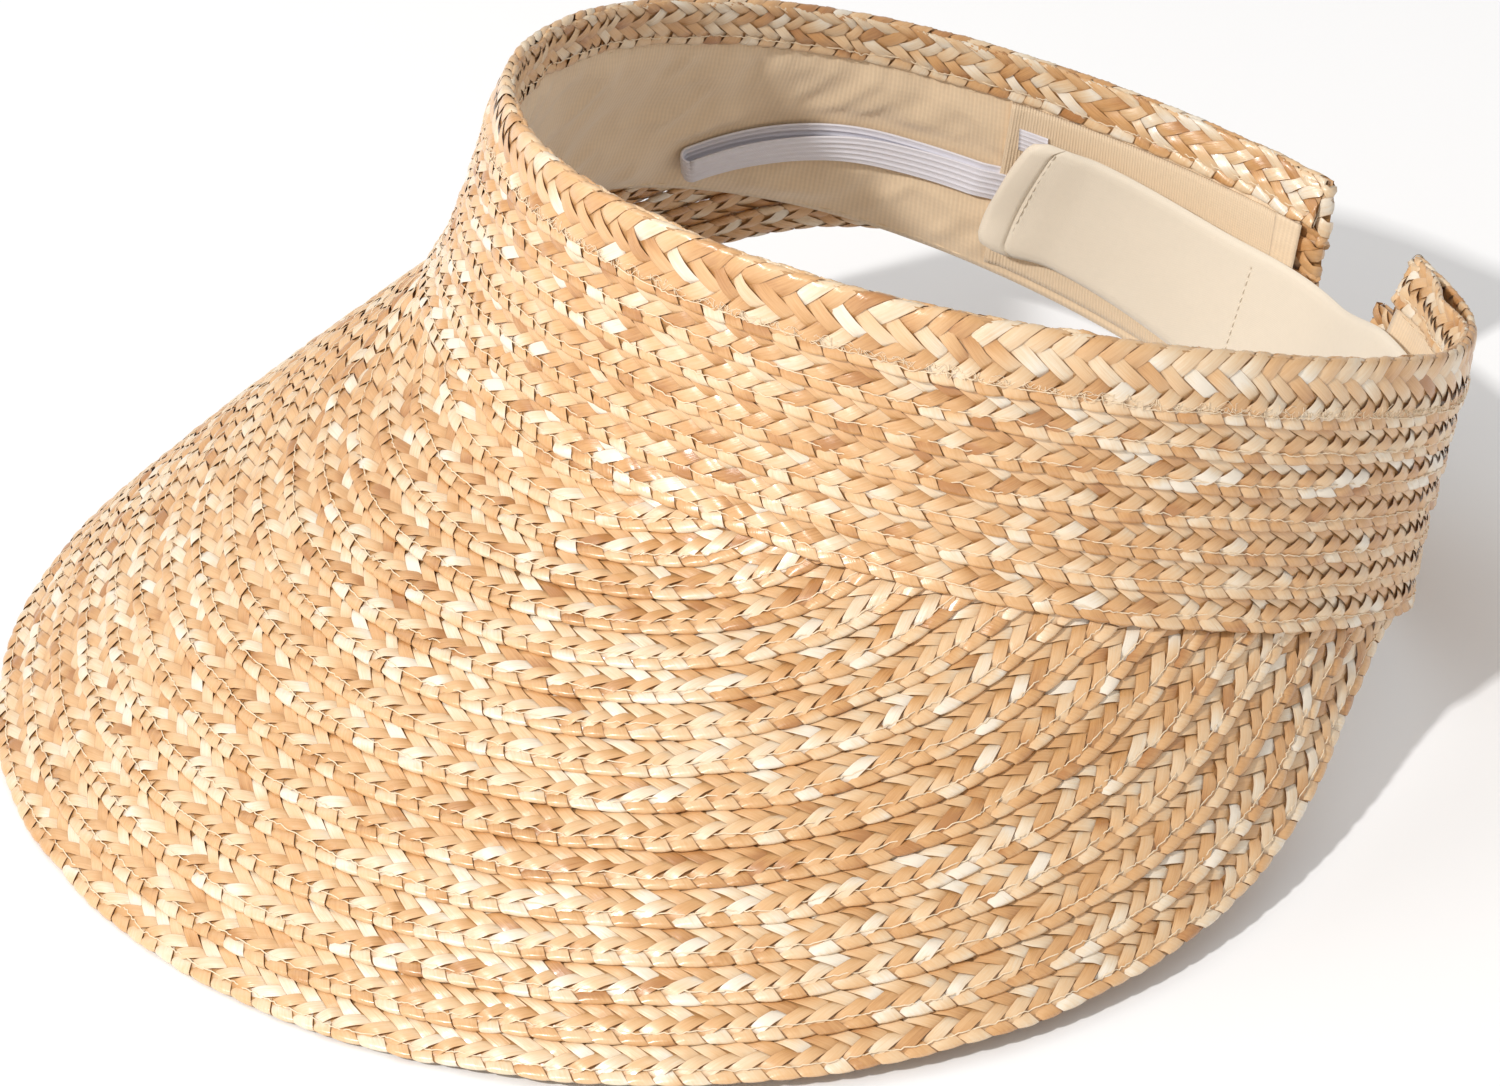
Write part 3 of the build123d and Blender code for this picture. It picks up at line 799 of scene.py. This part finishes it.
# ------------------------------------------------------------------ lining and loop patch
def elastic_v(a):
    """Middle of the elastic loop, which hangs in front of the lining."""
    return 31.0 + 14.0 * (np.maximum(a + 108.0, 0.0) / 22.0) ** 2


def lining_off(v):
    return 0.2 - 1.0 * np.minimum((v - LIN_TOP) / 34.0, 1.0)


def waves(x, y, seed, scale):
    """Soft folds: a few slanting sines added together, from 0 to 1."""
    r = np.random.default_rng(seed)
    out = np.zeros(np.broadcast(x, y).shape)
    for _ in range(9):
        ang = r.normal(0.35, 0.5)
        f = r.uniform(0.5, 1.6) / scale
        slant = x * math.cos(ang) + y * math.sin(ang)
        out = out + np.sin(slant * f + r.uniform(0, 6.3)) * r.uniform(0.3, 1.0)
    return np.clip(out / 5.0 * 0.5 + 0.5, 0, 1)


def patches(x, y, seed, size):
    """Smooth uneven values from -1 to 1, with lumps about size mm across."""
    r = np.random.default_rng(seed)
    table = r.uniform(-1, 1, (256, 256))
    x, y = np.broadcast_arrays(x / size + 100.0, y / size + 100.0)
    i, j = np.floor(x).astype(int), np.floor(y).astype(int)
    fx, fy = smooth(x - i), smooth(y - j)
    i, j = i % 255, j % 255
    low = table[i, j] * (1 - fx) + table[i + 1, j] * fx
    high = table[i, j + 1] * (1 - fx) + table[i + 1, j + 1] * fx
    return low * (1 - fy) + high * fy


def creases(x, y):
    """Slanting wrinkles of thin cloth, in mm."""
    along_x, across_x = x * 0.55 + y * 0.85, x * 0.85 - y * 0.55
    broad = patches(along_x * 0.4, across_x, 21, 8.5)
    sharp = 1 - np.abs(patches(along_x * 0.45 + 3 * broad, across_x, 22, 5.5)) * 1.5
    small = patches(along_x * 0.5, across_x, 23, 3.0)
    return 0.50 * broad + 0.42 * np.clip(sharp, 0, 1) + 0.14 * small


def sheet_grid(pile, surface, nu, nv, thick, scale_u, scale_v, mat=0, tone=0.5):
    """A closed thin sheet: surface(u, v, h) gives a point, h 0 on the face that shows and 1 on the back."""
    uu = np.linspace(0, 1, nu)[:, None]
    front = np.linspace(0, 1, nv)
    edge = np.array([0.15, 0.5, 0.85])
    vv = np.concatenate([front, np.ones(3), front[::-1], np.zeros(3), [0.0]])
    hh = np.concatenate([np.zeros(nv), edge, np.ones(nv), edge[::-1], [0.0]])
    pts = surface(uu, vv[None], hh[None])[None]
    uv = np.zeros(pts.shape[:3] + (2,))
    uv[..., 0] = (uu * scale_u)[None]
    uv[..., 1] = (vv * scale_v)[None, None]
    pile.grid(pts, uv, uv * 0 + 0.5, np.zeros(pts.shape[:3]) + tone, mat)
    for end in (0, -1):
        ring_front = surface(uu[end:][:1], front[None], np.zeros((1, nv)))[0]
        ring_back = surface(uu[end:][:1], front[None], np.ones((1, nv)))[0]
        cap = np.stack([ring_front, ring_back], 0)[None]
        z = np.zeros(cap.shape[:3] + (2,))
        pile.grid(cap, z, z + 0.5, np.zeros(cap.shape[:3]) + tone, mat, end == 0)


def lining_surface(u, v, h):
    a = FAR_IN + (NEAR_IN - FAR_IN) * u
    vv = LIN_LOW + (LIN_TOP - LIN_LOW) * v
    a, vv, h = np.broadcast_arrays(a, vv, h)
    arc = a * 1.6
    folds = (1.9 * creases(arc, vv) + 0.8) * smooth(np.minimum(vv - LIN_TOP, LIN_LOW - vv) / 7.0 + 0.1)
    folds = np.maximum(folds, -0.15)
    under_patch = smooth((-SEAM - a) / 3.0) + smooth((a - STRAP_A + 3) / 4.0)
    behind_elastic = smooth((a + 126) / 4) * smooth((-82 - a) / 4)
    behind_elastic = behind_elastic * smooth((9 - np.abs(vv - elastic_v(a))) / 4)
    folds = folds * (1 - np.clip(under_patch, 0, 1)) * (1 - 0.85 * behind_elastic)
    puck = 0.18 * np.sin(arc * 1.3 + 2 * np.sin(arc * 0.21)) * smooth(1 - np.abs(vv - LIN_TOP - 1.4) / 2.2)
    off = lining_off(vv) - LIN_T * (1 - h) - (folds + puck) * (1 - h * 0.5)
    return lifted(a, vv, off)


pile = Pile()
sheet_grid(pile, lining_surface, 460, 40, LIN_T, 492.0, 45.0)
lining = pile.build("lining", [cotton], weld=True)
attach(lining, "visor")
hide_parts("sweatband")


def patch_off(v):
    return lining_off(v) - LIN_T - 0.1 - PATCH_T


def patch_surface(u, v, h):
    vv = PATCH_LOW + (PATCH_HIGH - PATCH_LOW) * v
    front = -SEAM - 1.0 + 2.0 * (vv - PATCH_HIGH) / (PATCH_LOW - PATCH_HIGH)
    a = front + u * (PATCH_LAST - front)
    a, vv, h = np.broadcast_arrays(a, vv, h)
    fold = 0.55 * smooth(1 - np.abs(front - a) / 2.2)
    edge = 0.25 * smooth(1 - np.minimum(vv - PATCH_HIGH, PATCH_LOW - vv) / 2.0)
    off = patch_off(vv) + PATCH_T * h - (fold - edge) * (1 - h)
    return lifted(a, vv, off)


pile = Pile()
sheet_grid(pile, patch_surface, 90, 30, PATCH_T, 66.0, 41.5)
patch = pile.build("loop_patch_cloth", [ribbed], weld=True)
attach(patch, "visor")
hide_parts("loop_patch")


def hem_surface(u, v, h):
    a = FAR_IN - 0.8 + (PATCH_LAST + 0.7 - FAR_IN + 0.8) * u
    vv = PATCH_LOW + 0.2 + (PATCH_HIGH - PATCH_LOW - 0.4) * v
    a, vv, h = np.broadcast_arrays(a, vv, h)
    roll = np.sqrt(np.clip(1 - (2 * u - 1) ** 2, 0, 1)) * 0.42 * (0.85 + 0.15 * np.sin(vv * 0.9))
    return lifted(a, vv, patch_off(vv) + PATCH_T * 0.5 - roll * (1 - 2 * h) - 0.3)


pile = Pile()
sheet_grid(pile, hem_surface, 12, 40, 1.2, 4.0, 41.0)
hem = pile.build("patch_hem", [ribbed], weld=True)
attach(hem, "visor")
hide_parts("patch_end_hem")


for name, v0 in (("lining_stitch_top", LIN_TOP + 1.4), ("lining_stitch_bottom", LIN_LOW - 1.2)):
    a = np.linspace(-(SEAM - 3.0), NEAR_IN - 1, 1400)
    beat = np.sin(a * 1.6 * 2 * math.pi / 3.2)
    off = lining_off(v0) - LIN_T - 0.05 - 0.22 * np.clip(beat + 0.2, -1, 0.7)
    pile = Pile()
    v = v0 + 0.15 * np.sin(a * 0.9)
    tube(pile, lifted(a, v, off), lift_dir(a, v), 0.16, np.arange(len(a)) * 0.5)
    ob = pile.build(f"thread_{name}", [sewing])
    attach(ob, "visor")
    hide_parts(name)


# ------------------------------------------------------------------ strap
def strap_top(a):
    return STRAP_HIGH + STRAP_DIP * (smooth((233.0 - a) / 30.0) - smooth((170.0 - a) / 30.0))


def strap_face(a):
    return -2.2 - 1.4 * smooth((a - 148) / 48) - 0.85 * smooth((a - 231) / 5)


def strap_edge(a, v, off):
    a, v, off = (np.asarray(q, float) for q in np.broadcast_arrays(a, v, off))
    direct = lifted(a, v, off)
    p0, p1 = lifted(GAP0, v, off), lifted(GAP1, v, off)
    d0 = unit(p0 - lifted(GAP0 - 1.0, v, off))
    d1 = unit(lifted(GAP1 + 1.0, v, off) - p1)
    u = ((a - GAP0) / (GAP1 - GAP0))[..., None]
    m = np.linalg.norm(p1 - p0, axis=-1, keepdims=True)
    free = (p0 * (2 * u ** 3 - 3 * u ** 2 + 1) + d0 * (m * (u ** 3 - 2 * u ** 2 + u))
            + p1 * (3 * u ** 2 - 2 * u ** 3) + d1 * (m * (u ** 3 - u ** 2)))
    return np.where(((a > GAP0) & (a < GAP1))[..., None], free, direct)


def strap_table(a):
    slant = SLANT * np.clip((a - STRAP_PIVOT) / (STRAP_B - STRAP_PIVOT), 0, 1)
    off = strap_face(a) - STRAP_T / 2
    low = strap_edge(a, strap_top(a) + STRAP_W, off)
    high = strap_edge(a - slant, strap_top(a - slant), off)
    return low, high


sa = np.concatenate([np.linspace(STRAP_A, 232.0, 130), np.linspace(232.4, STRAP_B, 46)])
s_low, s_high = strap_table(sa)
mid = (s_low + s_high) / 2
ahead = unit(np.gradient(mid, axis=0))
x = s_high - s_low
x = unit(x)
s_lift = unit(np.cross(x, ahead))
probe = 40
if (s_lift[probe] * (mid[probe] - BAND_MIDDLE)).sum() < 0:
    s_lift = -s_lift
s_arc = np.concatenate([[0], np.cumsum(np.linalg.norm(np.diff(mid, axis=0), axis=1))])
s_len = s_arc[-1]


def strap_point(arc, w, h):
    """arc along the strap from its sewn end, w 0..1 from its lower edge, h in mm outward from its middle."""
    arc, w, h = np.broadcast_arrays(arc, w, h)

    def tab(t):
        return np.stack([np.interp(arc, s_arc, t[:, i]) for i in range(3)], -1)

    return tab(s_low) + (tab(s_high) - tab(s_low)) * w[..., None] + unit(tab(s_lift)) * h[..., None]


# closed section: the inward face from the lower to the upper edge, then back on the outward face
STRAP_SIDE = 22
one_face = np.linspace(0, 1, STRAP_SIDE)
w = np.concatenate([one_face, one_face[::-1], one_face[:1]])[None]
face = np.concatenate([-np.ones(STRAP_SIDE), np.ones(STRAP_SIDE), [-1]])
hem_from = s_len - 5.4
arc = np.concatenate([np.linspace(0, hem_from - 2.5, 150), np.linspace(hem_from - 2.3, s_len + 0.35, 48)])
arc = arc[:, None]
edge = np.minimum(w, 1 - w) * STRAP_W
round_edge = np.sqrt(np.clip(1 - np.clip(1 - edge / 1.0, 0, 1) ** 2, 0.02, 1))
half = STRAP_T / 2 * 0.92
roll = np.sqrt(np.clip(1 - ((arc - (s_len - 2.6)) / 2.85) ** 2, 0, 1)) * (arc > hem_from - 0.2)
crease = np.exp(-((arc - hem_from + 0.1) / 0.5) ** 2)
end_close = np.sqrt(np.clip(1 - np.clip((arc - (s_len - 1.0)) / 1.35, 0, 1) ** 2, 0.0, 1))
inner = half + 0.72 * roll - 0.30 * crease
pucker = 0.17 * np.sin(w * 9.5 + 0.6) * np.exp(-((arc - hem_from) / 5.0) ** 2)
soft = 0.45 * (waves(arc * 1.0, w * STRAP_W, 5, 9.0) - 0.5)
drop = 1.5 * smooth((arc - (s_len - 16.0)) / 16.0) * smooth((0.30 - w) / 0.30)
hgt = np.where(face[None] < 0, -(inner + pucker) * round_edge * end_close, half * round_edge * end_close)
hgt = hgt + soft * smooth(edge / 4.0) - drop
# the free end is cut in a shallow curve with rounded corners
corner = 3.2 - np.sqrt(np.clip(3.2 ** 2 - np.maximum(3.2 - edge, 0) ** 2, 0, None))
pull = (corner + 1.5 * (2 * w - 1) ** 2) * smooth((arc - (s_len - 14.0)) / 14.0)
pts = strap_point(arc - pull, w + 0 * arc, hgt)[None]
strap = band_mesh("strap_cloth", strap_cloth, pts, arc[None], w[None] * STRAP_W, STRAP_SIDE, flip_last=False)
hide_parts("strap_root", "strap_panel", "strap_hem")


def strap_arc(a):
    return float(np.interp(a, sa, s_arc))


blend_a = strap_point(np.array(strap_arc(STRAP_PIVOT) - 3.0), np.array(0.5), np.array(0.0)) * 0.001
blend_b = strap_point(np.array(strap_arc(STRAP_PIVOT) + 6.0), np.array(0.5), np.array(0.0)) * 0.001
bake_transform(strap)


def strap_seam(pile, arc, w, side, radius=0.13, dash=2.4, amp=0.22):
    """A stitch line on the strap: side -1 is the inward face."""
    d = np.concatenate([[0], np.cumsum(np.hypot(np.diff(arc), np.diff(w) * STRAP_W))])
    beat = np.sin(d * 2 * math.pi / dash)
    h = side * (half + 0.14 + amp * np.clip(beat, -1, 0.45))
    c = strap_point(arc, w, h)
    tube(pile, c, strap_point(arc, w, h + side) - c, radius, d, tone=0.8)


pile = Pile()
w_line = np.linspace(0.05, 0.95, 120)
strap_seam(pile, hem_from - 0.75 - 0.8 * (2 * w_line - 1) ** 2, w_line, -1)
w_line = np.linspace(0.12, 0.88, 90)
strap_seam(pile, np.full(90, strap_arc(205.0)), w_line, -1, 0.15, 1.9, 0.32)
ob = pile.build("strap_thread", [strap_cloth])
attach(ob, "strap")
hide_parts("strap_stitch")

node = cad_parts["hook_patch"]
node.data.materials.clear()
node.data.materials.append(hook_cloth)


# ------------------------------------------------------------------ elastic
def elastic_gap(a):
    return ELA_T + 0.3 + 1.9 * smooth((a - ELA_PIVOT) / 24.0)


def elastic_frame(a, off, drop=0.0):
    v = elastic_v(a) + drop
    c = lifted(a, v, off)
    ahead, behind = (lifted(a + d, elastic_v(a + d) + drop, off) for d in (0.3, -0.3))
    t = unit(ahead - behind)
    n = lift_dir(a, v)
    n = unit(n - t * (n * t).sum(-1, keepdims=True))
    w = np.cross(t, n)
    w = np.where(w[..., 2:] < 0, w, -w)
    return c, t, n, w


ea = np.concatenate([np.linspace(ELA_PIVOT - 4.9, ELA_PIVOT, 16), np.linspace(ELA_PIVOT + 0.5, ELA_TURN, 56)])
outer_off = ELA_OFF - ELA_T / 2 + 0.95 * smooth((ELA_PIVOT - 1.0 - ea) / 3.5)
c1, t1, n1, w1 = elastic_frame(ea, outer_off)
c2, t2, n2, w2 = elastic_frame(ea, outer_off - elastic_gap(ea), ELA_DROP)
turn_r = elastic_gap(np.array(ELA_TURN)) / 2
line, lifts, wides = [c1], [n1], [w1]
phi = np.linspace(0, math.pi, 16)[1:-1]
ct = c1[-1] - n1[-1] * turn_r
nn = n1[-1] * np.cos(phi)[:, None] + t1[-1] * np.sin(phi)[:, None]
line += [ct + nn * turn_r + w1[-1] * ELA_DROP * (phi / math.pi)[:, None], c2[::-1]]
lifts += [nn, -n2[::-1]]
wides += [np.repeat(w1[-1:], len(phi), 0), w2[::-1]]
line, lifts, wides = np.concatenate(line), np.concatenate(lifts), np.concatenate(wides)
nw = CORDS * 10 + 1
across_u = np.linspace(-1, 1, nw)


def ridges(u):
    """Narrow raised lines along both edges and between the cords."""
    return np.abs(np.cos((u + 1) / 2 * math.pi * CORDS)) ** 6


edge_r = np.sqrt(np.clip(1 - np.abs(across_u) ** 18, 0.0, 1))
th = (ELA_T / 2 - 0.16 + 0.26 * ridges(across_u)) * edge_r
prof_w = np.concatenate([across_u, across_u[::-1], across_u[:1]]) * ELA_W / 2
prof_h = np.concatenate([th, -th[::-1], th[:1]])
pts = (line[:, None] + wides[:, None] * prof_w[None, :, None] + lifts[:, None] * prof_h[None, :, None])[None]
run = np.concatenate([[0], np.cumsum(np.linalg.norm(np.diff(line, axis=0), axis=1))])
elastic = band_mesh("elastic_band", white_rib, pts, run[None, :, None], prof_w[None, None], nw)
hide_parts("elastic_loop", "elastic_root")
pa = elastic_frame(np.array(ELA_PIVOT - 1.5), -2.5)[0] * 0.001
pb = elastic_frame(np.array(ELA_PIVOT + 5.0), -2.5)[0] * 0.001
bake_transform(elastic)

ta = np.linspace(-127.2, -123.6, 10)
tw = np.linspace(-1, 1, nw)
grid_v = 18.35 + tw * 2.65
tail_h = (0.24 + 0.12 * ridges(tw)) * np.sqrt(np.clip(1 - np.abs(tw) ** 10, 0, 1))
off_mid = patch_off(16.9) - 0.40
vv = np.concatenate([grid_v, grid_v[::-1], grid_v[:1]])
hh = np.concatenate([tail_h, -tail_h[::-1], tail_h[:1]])
pts = lifted(ta[:, None], vv[None], off_mid + hh[None])[None]
tail = band_mesh("elastic_tail_end", white_rib, pts, (ta * 1.7)[None, :, None], vv[None, None], nw)
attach(tail, "visor")
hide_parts("elastic_tail")

# ------------------------------------------------------------------ floor, light, camera
fm = bpy.data.materials.new("floor")
fm.use_nodes = True
fb = fm.node_tree.nodes["Principled BSDF"]
fb.inputs["Base Color"].default_value = FLOOR_COLOUR
fb.inputs["Roughness"].default_value = 0.75
fb.inputs["Specular IOR Level"].default_value = 0.2
me = bpy.data.meshes.new("floor")
me.from_pydata([(-6, -6, 0), (6, -6, 0), (6, 6, 0), (-6, 6, 0)], [], [(0, 1, 2, 3)])
me.materials.append(fm)
floor = bpy.data.objects.new("floor", me)
bpy.context.scene.collection.objects.link(floor)
floor.location.z = cad_box[0][2] - 0.0002

world = bpy.data.worlds.new("world")
bpy.context.scene.world = world
world.use_nodes = True
sky = world.node_tree.nodes["Background"]
sky.inputs[0].default_value, sky.inputs[1].default_value = SKY_COLOUR, SKY_STRENGTH


def area(name, offset, size, watts, colour):
    data = bpy.data.lights.new(name, "AREA")
    data.shape = "RECTANGLE"
    data.size, data.size_y = size
    data.energy = watts
    data.color = colour
    ob = bpy.data.objects.new(name, data)
    bpy.context.scene.collection.objects.link(ob)
    ob.location = Vector(LIGHTS_AIM) + Vector(offset)
    ob.rotation_euler = (-Vector(offset)).to_track_quat("-Z", "Y").to_euler()


area("key", KEY_AT, KEY_SIZE, KEY_WATTS, KEY_COLOUR)
area("fill", FILL_AT, FILL_SIZE, FILL_WATTS, FILL_COLOUR)

scene = bpy.context.scene
scene.view_settings.view_transform = "Standard"
cam = bpy.data.cameras.new("camera")
cam.lens, cam.sensor_width, cam.sensor_fit = CAM_LENS, CAM_SENSOR, "HORIZONTAL"
cam.clip_end = 50
cob = bpy.data.objects.new("camera", cam)
scene.collection.objects.link(cob)
zax = -Vector(CAM_LOOK).normalized()
xax = Vector(CAM_UP).cross(zax).normalized()
axes = Matrix((xax, zax.cross(xax), zax)).transposed()
cob.matrix_world = Matrix.Translation(CAM_AT) @ axes.to_4x4()
scene.camera = cob
